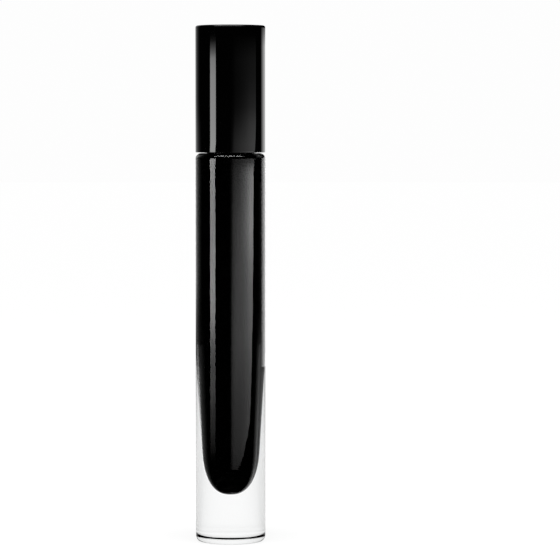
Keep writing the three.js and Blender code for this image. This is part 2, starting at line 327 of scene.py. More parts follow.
def make_jacket(material):
    """The clear jacket: solid foot, rounded shoulder, and a blind bore that fits the vial."""
    foot_cut = 0.75          # the foot's edge turns in two roundings, this far in and up
    foot_round_low = 0.8
    foot_round_high = 1.6
    shoulder = 1.33
    bore = VIAL_R - CROSS_FIT
    below_mouth = 1.0
    outline = rounded([
        (0.0, 0.0, 0),
        (TUBE_R - foot_cut, 0.0, foot_round_low),
        (TUBE_R, foot_cut, foot_round_high),
        (TUBE_R, JACKET_TOP, shoulder),
        (bore, JACKET_TOP, 0.0),
        (bore, JACKET_TOP - below_mouth, 0),
    ])
    blind_bore = vial_outline(CROSS_FIT, VIAL_LOW.z + CROSS_FIT)
    outline += list(reversed(blind_bore))
    piece = turned("jacket", outline)
    piece.data.materials.append(material)
    return settle(piece, "tube", "clear_acrylic", "outer_jacket")


def make_vial(embedded, bare):
    """The black bottle: rounded bottom, collar on the jacket's top, threaded neck."""
    collar = JACKET_TOP + FIT
    bore = VIAL_R - VIAL_WALL
    groove_r = NECK_BORE_R + 0.25
    groove_half = 0.3        # half the groove's height at its bottom, and at its mouth
    groove_mouth_half = 0.6
    outline = vial_outline(0.0, VIAL_LOW.z)
    outline += [(VIAL_R, collar - 0.2)]
    outline += rounded([
        (VIAL_R, collar - 0.1, 0),
        (VIAL_R, collar, 0),
        (COLLAR_R, collar, 0.15),
        (COLLAR_R, collar + COLLAR_H, 0.3),
        (NECK_R, collar + COLLAR_H, 0.2),
        (NECK_R, collar + COLLAR_H + 0.6, 0),
    ])
    outline += fine_wall(NECK_R, THREAD_LOW, THREAD_HIGH)
    outline += rounded([
        (NECK_R, NECK_TOP - 0.6, 0),
        (NECK_R, NECK_TOP, 0.2),
        (NECK_BORE_R, NECK_TOP, 0.15),
        (NECK_BORE_R, GROOVE + groove_mouth_half, 0.1),
        (groove_r, GROOVE + groove_half, 0.1),
        (groove_r, GROOVE - groove_half, 0.1),
        (NECK_BORE_R, GROOVE - groove_mouth_half, 0.1),
        (NECK_BORE_R, BORE_SHOULDER + 2, 0.5),
        (bore, BORE_SHOULDER, 0.5),
        (bore, BORE_SHOULDER - 2, 0),
    ])
    outline += list(reversed(vial_outline(VIAL_WALL, VIAL_LOW.z + VIAL_FLOOR)))
    shape = threaded(NECK_R, NECK_CREST)
    piece = turned("vial", outline, THREAD_SEGMENTS, shape=shape)
    piece.data.materials.append(bare)
    piece.data.materials.append(embedded)
    embedded_index = 1
    looks_down = -0.3
    for face in piece.data.polygons:
        middle = face.center / MM
        faces_out = face.normal.x * middle.x + face.normal.y * middle.y > 0
        faces_down = face.normal.z < looks_down and middle.z < VIAL_ROUND_TOP
        if middle.z < JACKET_TOP and (faces_out or faces_down):
            face.material_index = embedded_index
    return settle(piece, "tube", "black_vial", "inner_vial")


def make_wiper(material):
    """The wiper: a cone down to the lip, a barrel with a snap bead, and a flange."""
    barrel = NECK_BORE_R - FIT
    bore = 3.4
    cone = 96.0              # where the cone ends and the barrel starts
    lip_r = 1.88
    bead_r = barrel + 0.2
    bead_half = 0.2          # half the bead's height at its crest, and at its foot
    bead_foot_half = 0.5
    flange = WIPER_HIGH.z - 0.7
    outline = rounded([
        (lip_r, WIPER_LOW.z, 0.1),
        (lip_r + 0.35, WIPER_LOW.z, 0.1),
        (barrel, cone, 0.6),
        (barrel, GROOVE - bead_foot_half, 0.1),
        (bead_r, GROOVE - bead_half, 0.1),
        (bead_r, GROOVE + bead_half, 0.1),
        (barrel, GROOVE + bead_foot_half, 0.1),
        (barrel, flange, 0.05),
        (FLANGE_R, flange, 0.15),
        (FLANGE_R, WIPER_HIGH.z, 0.2),
        (bore + 0.3, WIPER_HIGH.z, 0.2),
        (bore, WIPER_HIGH.z - 0.5, 0.2),
        (bore, cone + 0.2, 0.6),
    ], closed=True)
    piece = turned("neck_wiper", outline, SLIM_SEGMENTS, closed=True)
    piece.data.materials.append(material)
    return settle(piece, "tube", "wiper_plastic", "wiper")


def make_seal(material):
    """The soft ring between the wiper's flange and the inner cap's roof."""
    outline = rounded([
        (ROD_CLEAR_R, SEAL_LOW.z, 0.12),
        (SEAL_R, SEAL_LOW.z, 0.2),
        (SEAL_R, SEAL_HIGH.z, 0.2),
        (ROD_CLEAR_R, SEAL_HIGH.z, 0.12),
    ], closed=True)
    piece = turned("seal", outline, SLIM_SEGMENTS, closed=True)
    piece.data.materials.append(material)
    return settle(piece, "seal", "seal_foam", "seal_washer")


# ---- the cap ----

def make_cap(material):
    """The outer cap: a plain cup, open at the bottom, with a fine edge."""
    wall = 1.2
    roof = 1.5
    bore = TUBE_R - wall
    outline = rounded([
        (0.0, CAP_TOP - roof, 0),
        (bore, CAP_TOP - roof, 0.5),
        (bore, CAP_RIM, 0.2),
        (TUBE_R, CAP_RIM, 0.12),
        (TUBE_R, CAP_TOP, 0.5),
        (0.0, CAP_TOP, 0),
    ])
    piece = turned("cap", outline)
    piece.data.materials.append(material)
    return settle(piece, "wand", "black_cap", "cap_shell")


def rib_faces(turn, start):
    """One upright rib of the inner cap, with slanted ends, as a closed block."""
    low, high = INSERT_LOW.z + 1.0, SEAL_HIGH.z + 0.85
    root = SKIRT_R - 0.2
    end_r = RIB_R - 0.3
    slant = 0.5              # height of the slanted ends
    root_half = 0.45
    crest_half = root_half * 0.7
    levels = ((low, end_r), (low + slant, RIB_R), (high - slant, RIB_R), (high, end_r))
    points = []
    for z, crest in levels:
        for radius, side in (
            (root, -root_half), (crest, -crest_half), (crest, crest_half), (root, root_half),
        ):
            x = radius * math.cos(turn) - side * math.sin(turn)
            y = radius * math.sin(turn) + side * math.cos(turn)
            points.append((x, y, z))
    faces = [[start + i for i in (3, 2, 1, 0)], [start + 12 + i for i in range(4)]]
    for level in range(3):
        base = start + 4 * level
        for i in range(4):
            k = (i + 1) % 4
            faces.append([base + i, base + k, base + 4 + k, base + 4 + i])
    return points, faces


def make_insert(material):
    """The inner cap: threaded skirt, roof over the seal, boss for the rod, outer ribs."""
    seat = SEAL_HIGH.z + FIT
    roof = seat + 1.8
    outline = rounded([
        (ROD_CLEAR_R, seat, 0.1),
        (SKIRT_BORE_R, seat, 0.3),
        (SKIRT_BORE_R, seat - 0.6, 0),
    ])
    closed_start = outline[0]
    outline += fine_wall(SKIRT_BORE_R, THREAD_HIGH, THREAD_LOW)
    outline += rounded([
        (SKIRT_BORE_R, THREAD_START - 1.0, 0),
        (SKIRT_BORE_R, INSERT_LOW.z, 0.15),
        (SKIRT_R, INSERT_LOW.z, 0.15),
        (SKIRT_R, roof, 0.3),
        (BOSS_R, roof, 0.3),
        (BOSS_R, INSERT_HIGH.z, 0.2),
        (ROD_CLEAR_R, INSERT_HIGH.z, 0.1),
        closed_start + (0,),
    ])[:-1]
    outline = supported(outline, closed=True)
    shape = threaded(SKIRT_BORE_R, -CAP_CREST)
    vertices, faces = turned_faces(outline, THREAD_SEGMENTS, True, shape)
    ribs = 12
    for i in range(ribs):
        points, sides = rib_faces(2 * math.pi * i / ribs, len(vertices))
        vertices += points
        faces += sides
    piece = finish_mesh("cap_insert", vertices, faces)
    piece.data.materials.append(material)
    return settle(piece, "wand", "black_insert", "inner_cap")


def make_weight(material):
    """The plain ring round the boss."""
    inner = BOSS_R + 0.1
    outline = rounded([
        (inner, WEIGHT_LOW.z, 0.15),
        (WEIGHT_R, WEIGHT_LOW.z, 0.4),
        (WEIGHT_R, WEIGHT_HIGH.z, 0.4),
        (inner, WEIGHT_HIGH.z, 0.15),
    ], closed=True)
    piece = turned("ballast_ring", outline, THREAD_SEGMENTS, closed=True)
    piece.data.materials.append(material)
    return settle(piece, "wand", "weight_steel", "cap_weight")


# ---- the applicator ----

def make_rod(material):
    """The tapered rod, with a socket for the wire below and a head above."""
    head = ROD_HIGH.z - 1.1
    socket_top = ROD_LOW.z + SOCKET_DEPTH
    outline = rounded([
        (0.0, socket_top, 0),
        (SOCKET_R, socket_top, 0.1),
        (SOCKET_R, ROD_LOW.z, 0.08),
        (ROD_NOSE_R, ROD_LOW.z, 0.25),
        (ROD_R_AT_BRUSH, ROD_LOW.z + ROD_NOSE_H, 1.2),
        (ROD_R_AT_CAP, ROD_TAPER_TOP, 0),
        (ROD_R_AT_CAP, head, 0.1),
        (ROD_HEAD_R, head, 0.15),
        (ROD_HEAD_R, ROD_HIGH.z, 0.35),
        (0.0, ROD_HIGH.z, 0),
    ])
    piece = turned("stem", outline, SLIM_SEGMENTS)
    piece.data.materials.append(material)
    return settle(piece, "wand", "black_rod", "rod")


def tube_along(centres, radii, sides, start):
    """Points and faces of a closed round bar along a line of centres."""
    vertices = []
    faces = []
    normal = None
    for i, centre in enumerate(centres):
        ahead = centres[min(i + 1, len(centres) - 1)]
        behind = centres[max(i - 1, 0)]
        forward = (ahead - behind).normalized()
        if normal is None:
            normal = forward.orthogonal().normalized()
        normal = (normal - forward * normal.dot(forward)).normalized()
        other = forward.cross(normal)
        for k in range(sides):
            angle = 2 * math.pi * k / sides
            out = normal * math.cos(angle) + other * math.sin(angle)
            vertices.append(centre + out * radii[i])
    rings = len(centres)
    for i in range(rings - 1):
        for k in range(sides):
            m = (k + 1) % sides
            a, b = start + i * sides + k, start + i * sides + m
            faces.append([a, b, b + sides, a + sides])
    faces.append([start + k for k in reversed(range(sides))])
    faces.append([start + (rings - 1) * sides + k for k in range(sides)])
    return vertices, faces


def wire_line():
    """The middle of the wire: down one strand, over the fold at the tip, up the other."""
    steps_per_turn = 28
    top = ROD_LOW.z + WIRE_IN_SOCKET
    fold = WIRE_LOW.z + WIRE_R + WIRE_OFFSET
    strand_steps = round((top - fold) / WIRE_PITCH * steps_per_turn)
    fold_steps = 12

    def at(z, offset):
        turn = 2 * math.pi * max(z, fold) / WIRE_PITCH
        return Vector((offset * math.cos(turn), offset * math.sin(turn), z))

    line = []
    for i in range(strand_steps):
        line.append(at(top - (top - fold) * i / strand_steps, WIRE_OFFSET))
    for i in range(fold_steps):
        angle = math.pi * i / fold_steps
        line.append(at(fold - WIRE_OFFSET * math.sin(angle), WIRE_OFFSET * math.cos(angle)))
    for i in range(strand_steps + 1):
        line.append(at(fold + (top - fold) * i / strand_steps, -WIRE_OFFSET))
    return line


def make_wire(material):
    """One wire, folded double and twisted."""
    line = wire_line()
    vertices, faces = tube_along(line, [WIRE_R] * len(line), WIRE_SIDES, 0)
    piece = finish_mesh("brush_wire", vertices, faces, SLIM_SHARP_DEG)
    piece.data.materials.append(material)
    return settle(piece, "wand", "wire_steel", "twisted_wire")


# ---- materials ----

class Nodes:
    """A short way to build a node material."""

    def __init__(self, owner):
        """Starts on a new material of this name, or on a world."""
        named = isinstance(owner, str)
        self.material = bpy.data.materials.new(owner) if named else owner
        self.material.use_nodes = True
        self.tree = self.material.node_tree
        self.tree.nodes.clear()
        self.out = self.add("ShaderNodeOutputMaterial" if named else "ShaderNodeOutputWorld")

    def add(self, kind, **settings):
        node = self.tree.nodes.new(kind)
        for key, value in settings.items():
            setattr(node, key, value)
        return node

    def join(self, source, target):
        self.tree.links.new(source, target)

    def place(self):
        """The piece's own coordinates, in metres."""
        return self.add("ShaderNodeTexCoord").outputs["Object"]

    def stretched(self, scale):
        """The same, scaled, so that a texture is drawn out along the axes of small scale."""
        mapping = self.add("ShaderNodeMapping")
        mapping.inputs["Scale"].default_value = scale
        self.join(self.place(), mapping.inputs["Vector"])
        return mapping.outputs["Vector"]

    def noise(self, vector, scale, detail=3.0, roughness=0.5):
        node = self.add("ShaderNodeTexNoise")
        node.inputs["Scale"].default_value = scale
        node.inputs["Detail"].default_value = detail
        node.inputs["Roughness"].default_value = roughness
        self.join(vector, node.inputs["Vector"])
        return node.outputs["Fac"]

    def mapped(self, value, low, high, from_low=0.0, from_high=1.0):
        """low where the value is from_low, high where it is from_high, and level beyond."""
        node = self.add("ShaderNodeMapRange")
        node.inputs["From Min"].default_value = from_low
        node.inputs["From Max"].default_value = from_high
        node.inputs["To Min"].default_value = low
        node.inputs["To Max"].default_value = high
        self.join(value, node.inputs["Value"])
        return node.outputs["Result"]

    def math(self, operation, a, b=None):
        node = self.add("ShaderNodeMath", operation=operation)
        for value, socket in ((a, node.inputs[0]), (b, node.inputs[1])):
            if value is None:
                continue
            if isinstance(value, (int, float)):
                socket.default_value = value
            else:
                self.join(value, socket)
        return node.outputs[0]

    def blend(self, factor, a, b):
        """a where the factor is 0, b where it is 1."""
        node = self.add("ShaderNodeMix", clamp_factor=False)
        self.join(factor, node.inputs["Factor"])
        for value, socket in ((a, node.inputs["A"]), (b, node.inputs["B"])):
            if isinstance(value, (int, float)):
                socket.default_value = value
            else:
                self.join(value, socket)
        return node.outputs["Result"]

    def ramp(self, value, low, high):
        """A colour between two others."""
        node = self.add("ShaderNodeMix", data_type="RGBA")
        node.inputs["A"].default_value = (*low, 1)
        node.inputs["B"].default_value = (*high, 1)
        self.join(value, node.inputs["Factor"])
        return node.outputs["Result"]

    def bump(self, height, distance):
        node = self.add("ShaderNodeBump")
        node.inputs["Strength"].default_value = 1.0
        node.inputs["Distance"].default_value = distance
        self.join(height, node.inputs["Height"])
        return node.outputs["Normal"]

    def shader(self, **values):
        """The surface. Each value is a number, a colour or another node's output."""
        node = self.add("ShaderNodeBsdfPrincipled")
        for key, value in values.items():
            socket = node.inputs[key.replace("_", " ")]
            if isinstance(value, bpy.types.NodeSocket):
                self.join(value, socket)
            else:
                socket.default_value = value
        self.join(node.outputs["BSDF"], self.out.inputs["Surface"])


def colour(r, g, b):
    return (r, g, b, 1.0)


def edge_band(nodes, height, reach):
    """1 at a given height along the axis, falling to 0 within reach on both sides."""
    split = nodes.add("ShaderNodeSeparateXYZ")
    nodes.join(nodes.place(), split.inputs[0])
    away = nodes.math("ABSOLUTE", nodes.math("SUBTRACT", split.outputs["Z"], height * MM))
    near = nodes.math("SUBTRACT", 1.0, nodes.math("DIVIDE", away, reach * MM))
    return nodes.math("MAXIMUM", near, 0.0)


def cap_material():
    """Polished black lacquer: faint waviness, hairline scratches, handled edges."""
    nodes = Nodes("cap_lacquer")
    broad = nodes.noise(nodes.place(), 90.0, 2.0)
    hairs = nodes.noise(nodes.stretched((900.0, 900.0, 30.0)), 1.0, 3.0, 0.7)
    scratch = nodes.mapped(hairs, 0.0, 1.0, 0.66, 0.74)
    edges = nodes.math("ADD", edge_band(nodes, CAP_TOP, 0.9), edge_band(nodes, CAP_RIM, 0.8))
    rough = nodes.mapped(broad, 0.02, 0.045)
    rough = nodes.math("ADD", rough, nodes.math("MULTIPLY", edges, 0.05))
    rough = nodes.math("ADD", rough, nodes.math("MULTIPLY", scratch, 0.03))
    nodes.shader(
        Base_Color=nodes.ramp(broad, (0.0002, 0.0002, 0.0002), (0.0005, 0.0005, 0.0005)),
        Roughness=rough,
        IOR=1.5,
        Normal=nodes.bump(nodes.noise(nodes.place(), 260.0, 1.0), 0.0000012),
    )
    return nodes.material


def acrylic_material():
    """Clear acrylic with very light handling marks."""
    nodes = Nodes("clear_acrylic")
    marks = nodes.noise(nodes.place(), 140.0, 4.0, 0.6)
    hairs = nodes.noise(nodes.stretched((700.0, 700.0, 25.0)), 1.0, 3.0, 0.7)
    scratch = nodes.mapped(hairs, 0.0, 1.0, 0.68, 0.76)
    rough = nodes.mapped(marks, 0.0, 0.012, 0.45, 0.75)
    rough = nodes.math("ADD", rough, nodes.math("MULTIPLY", scratch, 0.01))
    nodes.shader(
        Base_Color=colour(0.90, 0.905, 0.905),
        Roughness=rough,
        IOR=1.49,
        Transmission_Weight=1.0,
        Normal=nodes.bump(nodes.noise(nodes.place(), 200.0, 1.0), 0.0000001),
    )
    return nodes.material


def embedded_material():
    """The vial's black skin inside the acrylic: two plastics meet, so only its rim glints."""
    nodes = Nodes("vial_in_acrylic")
    fine = nodes.noise(nodes.place(), 400.0, 3.0)
    nodes.shader(
        Base_Color=nodes.ramp(fine, (0.0002, 0.0002, 0.0002), (0.0005, 0.0005, 0.0005)),
        Roughness=nodes.mapped(fine, 0.06, 0.10),
        IOR=1.13,
    )
    return nodes.material


def moulded_black(name, low, high, rough_low, rough_high, grain):
    """Moulded black plastic with a fine grain and faint flow marks along the axis."""
    nodes = Nodes(name)
    flow = nodes.noise(nodes.stretched((500.0, 500.0, 60.0)), 1.0, 2.0)
    fine = nodes.noise(nodes.place(), 3500.0, 2.0)
    nodes.shader(
        Base_Color=nodes.ramp(flow, low, high),
        Roughness=nodes.mapped(flow, rough_low, rough_high),
        IOR=1.5,
        Normal=nodes.bump(fine, grain),
    )
    return nodes.material


def wiper_material():
    """Soft milky polyethylene."""
    nodes = Nodes("wiper_polyethylene")
    cloud = nodes.noise(nodes.place(), 300.0, 3.0)
    nodes.shader(
        Base_Color=nodes.ramp(cloud, (0.74, 0.73, 0.70), (0.84, 0.83, 0.80)),
        Roughness=nodes.mapped(cloud, 0.36, 0.5),
        Subsurface_Weight=0.25,
        Subsurface_Scale=0.001,
        Normal=nodes.bump(nodes.noise(nodes.place(), 2500.0, 2.0), 0.000004),
    )
    return nodes.material


def seal_material():
    """Dense closed-cell foam."""
    nodes = Nodes("seal_foam")
    cells = nodes.add("ShaderNodeTexVoronoi")
    cells.inputs["Scale"].default_value = 5500.0
    nodes.join(nodes.place(), cells.inputs["Vector"])
    cell = cells.outputs["Distance"]
    nodes.shader(
        Base_Color=nodes.ramp(cell, (0.78, 0.77, 0.74), (0.66, 0.65, 0.62)),
        Roughness=nodes.mapped(cell, 0.7, 0.85),
        Normal=nodes.bump(cell, 0.00002),
    )
    return nodes.material


def steel_material(name, stretch, rough_low, rough_high):
    """Bare steel with fine tool or die marks."""
    nodes = Nodes(name)
    marks = nodes.noise(nodes.stretched(stretch), 1.0, 3.0, 0.6)
    nodes.shader(
        Base_Color=nodes.ramp(marks, (0.46, 0.46, 0.47), (0.60, 0.60, 0.61)),
        Metallic=1.0,
        Roughness=nodes.mapped(marks, rough_low, rough_high),
        Normal=nodes.bump(marks, 0.000004),
    )
    return nodes.material


def fibre_material():
    """Fine black nylon, slightly different from fibre to fibre."""
    nodes = Nodes("brush_fibre")
    patch = nodes.noise(nodes.place(), 900.0, 2.0)
    fine = nodes.noise(nodes.place(), 9000.0, 1.0)
    nodes.shader(
        Base_Color=nodes.ramp(patch, (0.002, 0.0019, 0.0018), (0.009, 0.0085, 0.008)),
        Roughness=nodes.mapped(fine, 0.38, 0.55),
        IOR=1.53,
    )
    return nodes.material


# ---- fibres of the brush ----

# The tables below are (height above the brush's tip, value) points, read by along().

BRUSH_LENGTH = ROD_LOW.z - BRUSH_LOW.z
ROW_PHASE = 0.9          # at this height a spiral row of tips points along +X
ROOT_R = 0.3             # where a fibre leaves the wire
END_LEAN = [(1.6, 0.7), (3.2, 0.0)]      # fibres near the tip lean towards it
TIP_REACH = [
    (0.0, 2.9), (3.0, 3.3), (5.0, 3.6), (7.0, 3.8), (9.0, 3.97), (14.0, 4.02), (20.0, 3.92),
    (23.2, 3.7), (25.2, 3.46), (25.8, 2.6), (BRUSH_LENGTH, 2.1),
]
CORE_REACH = [
    (0.5, 1.2), (2.0, 1.65), (3.0, 2.35), (5.0, 2.58), (13.0, 2.64), (22.0, 2.52),
    (25.4, 2.3), (BRUSH_LENGTH, 2.1),
]


def fibre_line(base, direction, length, droop, sideways, count):
    """The points of one fibre, which leaves the wire straight and then bends."""
    line = []
    across = Vector((-direction.y, direction.x, 0.0))
    for i in range(count):
        t = i / (count - 1)
        point = base + direction * (length * t)
        point += Vector((0, 0, droop)) * t ** 2
        point += across * (sideways * t ** 2)
        line.append(point)
    return line


def make_bristles(material):
    """Fibres held by the wire: a dense core, and clumps of tips in two spiral rows."""
    random.seed(41)
    vertices = []
    faces = []

    def add(line, thick):
        radii = [thick] * (len(line) - 1) + [thick * 0.75]
        points, sides = tube_along(line, radii, FIBRE_SIDES, len(vertices))
        vertices.extend(points)
        faces.extend(sides)

    def fibre(turn, z, reach, droop, count):
        direction = Vector((math.cos(turn), math.sin(turn), 0.0))
        base = direction * ROOT_R + Vector((0, 0, z))
        sideways = random.uniform(-0.2, 0.2)
        line = fibre_line(base, direction, reach - ROOT_R, droop, sideways, count)
        add(line, random.uniform(0.052, 0.07))

    def row_turn(z):
        return 2 * math.pi * (z - ROW_PHASE) / WIRE_PITCH

    # the dense core
    low, high = BRUSH_LOW.z + 1.6, ROD_LOW.z - FIT
    core_fibres = 4300
    share_in_rows = 0.2
    for c in range(core_fibres):
        z = low + (high - low) * (c + random.random()) / core_fibres
        turn = random.uniform(0, 2 * math.pi)
        if random.random() < share_in_rows:
            turn = row_turn(z) + random.choice((0.0, math.pi)) + random.gauss(0, 0.5)
        reach = along(CORE_REACH, z - BRUSH_LOW.z) * random.triangular(0.92, 1.03, 1.0)
        lean = random.uniform(-0.3, 0.5) - along(END_LEAN, z - BRUSH_LOW.z)
        fibre(turn, z, reach, lean, 3)

    # the clumps of tips
    first, last = BRUSH_LOW.z + 2.5, ROD_LOW.z - 1.8
    clump_height = 0.27
    fibres_per_clump = 9
    clumps = round((last - first) / clump_height)
    for c in range(clumps):
        for side in (0.0, math.pi):
            z = first + (c + random.uniform(0.25, 0.75)) * clump_height
            lean = random.uniform(-0.5, 0.5)
            trim = random.uniform(0.9, 1.0)
            for _ in range(fibres_per_clump):
                turn = row_turn(z) + side + lean + random.gauss(0, 0.06)
                reach = along(TIP_REACH, z - BRUSH_LOW.z) * trim * random.uniform(0.94, 0.99)
                start = z + random.uniform(-0.08, 0.08)
                fibre(turn, start, reach, 0.42 + random.uniform(-0.1, 0.1), 5)

    # the end, where fibres bend over the fold of the wire into a few spikes
    spike_count = 9
    end_fibres = 330
    fibre_points = 5
    bend = 1.9               # how far round a fibre bends over the fold, in radians
    spikes = [
        (random.uniform(0, 2 * math.pi), random.uniform(0.0, 0.9))
        for _ in range(spike_count)
    ]
    for c in range(end_fibres):
        heading, depth = spikes[c % spike_count]
        turn = heading + random.gauss(0, 0.3)
        out_to = random.uniform(0.1, 1.0)
        direction = Vector((math.cos(turn), math.sin(turn), 0.0))
        from_z = BRUSH_LOW.z + random.uniform(2.0, 3.2)
        to_z = BRUSH_LOW.z + 0.12 + depth * random.uniform(0.5, 1.0)
        line = []
        for i in range(fibre_points):
            t = i / (fibre_points - 1)
            out = ROOT_R + out_to * math.sin(t * bend) / math.sin(bend)
            line.append(direction * out + Vector((0, 0, from_z + (to_z - from_z) * t ** 1.2)))
        add(line, random.uniform(0.05, 0.065))
    piece = finish_mesh("brush_fibres", vertices, faces, SLIM_SHARP_DEG)
    piece.data.materials.append(material)
    return settle(piece, "wand", "black_fibre", "bristles")


# ---- studio ----

CAMERA_DISTANCE = 0.700  # the camera's place is in metres
CAMERA_HEIGHT = 0.100
CAMERA_SIDE = 0.01171    # the tube stands left of the middle of the picture
PITCH_DEG = 3.11         # how far the camera looks down
LENS_MM = 190.45
SENSOR_MM = 36.0


def make_camera():
    """The long-lens view of the photograph."""
    data = bpy.data.cameras.new("camera")
    data.lens = LENS_MM
    data.sensor_width = SENSOR_MM
    data.clip_start = 0.01
    data.clip_end = 50.0
    camera = bpy.data.objects.new("camera", data)
    camera.location = (CAMERA_SIDE, -CAMERA_DISTANCE, CAMERA_HEIGHT)
    camera.rotation_euler = (math.radians(90 - PITCH_DEG), 0.0, 0.0)
    bpy.context.scene.collection.objects.link(camera)
    bpy.context.scene.camera = camera


ROOM_WHITE = 0.985
THROUGH_SIDE = 0.96      # the white seen through the acrylic, when the ray leaves sideways
THROUGH_BEHIND = 1.09    # and straight back
NEARLY_BACK = 0.75       # how far back a ray points where the second white starts to come in
ROOM_DARK = 0.008        # what gloss inside the acrylic sees where nothing else shows


class Outlook:
    """Where a ray meets the room or the table, and what kind of ray it is.

    right, back and up are the parts of the direction from the tube's foot to that place.
    """

    def __init__(self, nodes, place):
        path = nodes.add("ShaderNodeLightPath")
        self.nodes = nodes
        self.through = path.outputs["Is Transmission Ray"]
        self.glossy = nodes.math("GREATER_THAN", path.outputs["Glossy Depth"], 0.5)
        unit = nodes.add("ShaderNodeVectorMath", operation="NORMALIZE")
        nodes.join(place, unit.inputs[0])
        split = nodes.add("ShaderNodeSeparateXYZ")
        nodes.join(unit.outputs[0], split.inputs[0])
        self.right, self.back, self.up = split.outputs
        graded = nodes.mapped(self.back, THROUGH_SIDE, THROUGH_BEHIND, NEARLY_BACK, 1.0)
        self.white = nodes.blend(self.through, ROOM_WHITE, graded)

    def level(self, in_gloss, in_acrylic_gloss):
        """White for a ray that met no gloss, in_gloss for one that was reflected, and for
        one reflected inside the acrylic a mix of dark and white.
        """
        nodes = self.nodes
        inside = nodes.blend(in_acrylic_gloss, ROOM_DARK, self.white)
        turned = nodes.blend(self.through, in_gloss, inside)
        return nodes.blend(self.glossy, self.white, turned)


def make_world():
    """White all round; in gloss only its high part shows, and only through acrylic."""
    world = bpy.data.worlds.new("studio")
    bpy.context.scene.world = world
    nodes = Nodes(world)
    outlook = Outlook(nodes, nodes.add("ShaderNodeTexCoord").outputs["Generated"])
    high = nodes.mapped(outlook.up, 0.0, 1.0, 0.01, 0.06)
    sky = nodes.add("ShaderNodeBackground")
    sky.inputs["Color"].default_value = colour(1.0, 1.0, 1.0)
    nodes.join(outlook.level(0.0, high), sky.inputs["Strength"])
    nodes.join(sky.outputs[0], nodes.out.inputs["Surface"])


def make_floor():
    """A pale table that is lit from below as well, so cast shadows stay faint, with a faint
    contact shadow painted into its glow under and behind the foot.

    In gloss only its part close behind the object shows, brighter to the right.
    """
    radius = 4.0
    drop = 0.00003           # keeps the table clear of the foot
    mesh = bpy.data.meshes.new("floor")
    maker = bmesh.new()
    bmesh.ops.create_circle(maker, cap_ends=True, segments=128, radius=radius)
    maker.to_mesh(mesh)
    maker.free()
    floor = link(mesh, "floor")
    floor.location.z = -drop
    nodes = Nodes("light_table")
    outlook = Outlook(nodes, nodes.place())
    from_foot = nodes.add("ShaderNodeVectorMath", operation="LENGTH")
    nodes.join(nodes.place(), from_foot.inputs[0])
    away = from_foot.outputs["Value"]

    # what gloss inside the acrylic sees of the table
    close = nodes.mapped(away, 1.0, 0.0, 0.30, 0.75)
    behind = nodes.mapped(outlook.back, 0.0, 1.0, 0.64, 0.98)
    sided = nodes.mapped(outlook.right, 0.9, 4.5, 0.08, 0.35)
    in_acrylic_gloss = nodes.math("MULTIPLY", nodes.math("MULTIPLY", behind, sided), close)

    # what plain gloss sees of it
    in_gloss = nodes.math(
        "MULTIPLY",
        nodes.mapped(outlook.back, 0.0, 0.9, 0.3, 0.8),
        nodes.mapped(away, 1.0, 0.15, 0.2, 0.5),
    )

    # a painted contact shadow: a faint darkening of the table's glow under and behind the
    # foot
    shadow_middle = (0.0, 0.012, 0.0)
    from_shadow = nodes.add("ShaderNodeVectorMath", operation="DISTANCE")
    nodes.join(nodes.place(), from_shadow.inputs[0])
    from_shadow.inputs[1].default_value = shadow_middle
    painted_shadow = nodes.mapped(from_shadow.outputs["Value"], 0.84, 0.93, 0.004, 0.024)

    glow = nodes.add("ShaderNodeEmission")
    # the table's glow, darkened by the painted contact shadow
    level = nodes.math("MULTIPLY", outlook.level(in_gloss, in_acrylic_gloss), painted_shadow)
    nodes.join(level, glow.inputs["Strength"])
    matt_grey = 0.08
    matt = nodes.add("ShaderNodeBsdfDiffuse")
    nodes.join(nodes.blend(outlook.glossy, matt_grey, 0.0), matt.inputs["Color"])
    lit = nodes.add("ShaderNodeAddShader")
    nodes.join(glow.outputs[0], lit.inputs[0])
    nodes.join(matt.outputs[0], lit.inputs[1])
    nodes.join(lit.outputs[0], nodes.out.inputs["Surface"])
    floor.data.materials.append(nodes.material)


def glow_material():
    """Light as strong as a card's own glow attribute says."""
    nodes = Nodes("glow")
    level = nodes.add("ShaderNodeAttribute", attribute_name="glow")
    light = nodes.add("ShaderNodeEmission")
    nodes.join(level.outputs["Fac"], light.inputs["Strength"])
    nodes.join(light.outputs[0], nodes.out.inputs["Surface"])
    nodes.material.cycles.emission_sampling = "NONE"
    return nodes.material


def make_card(name, material, distance, heights, left, right, glow):
    """A curved soft-box round the object, which only reflections see.

    Angles are degrees from the camera's side, positive to the right. left and right give
    the card's two edges at a height in millimetres; glow gives its light at an angle and
    a height.
    """
    columns, rows = 72, 72
    bottom, top = heights
    vertices = []
    levels = []
    for j in range(rows + 1):
        z = bottom + (top - bottom) * j / rows
        for i in range(columns + 1):
            degrees = left(z) + (right(z) - left(z)) * i / columns
            angle = math.radians(degrees)
            x, y = distance * math.sin(angle), -distance * math.cos(angle)
            vertices.append((x * MM, y * MM, z * MM))
            levels.append(glow(degrees, z))
    faces = []
    for j in range(rows):
        for i in range(columns):
            a = j * (columns + 1) + i
            faces.append([a, a + 1, a + columns + 2, a + columns + 1])
    mesh = bpy.data.meshes.new(name)
    mesh.from_pydata(vertices, [], faces)
    mesh.attributes.new("glow", "FLOAT", "POINT").data.foreach_set("value", levels)
    mesh.materials.append(material)
    card = link(mesh, name)
    card.visible_camera = False
    card.visible_diffuse = False
    card.visible_shadow = False
    card.visible_transmission = False


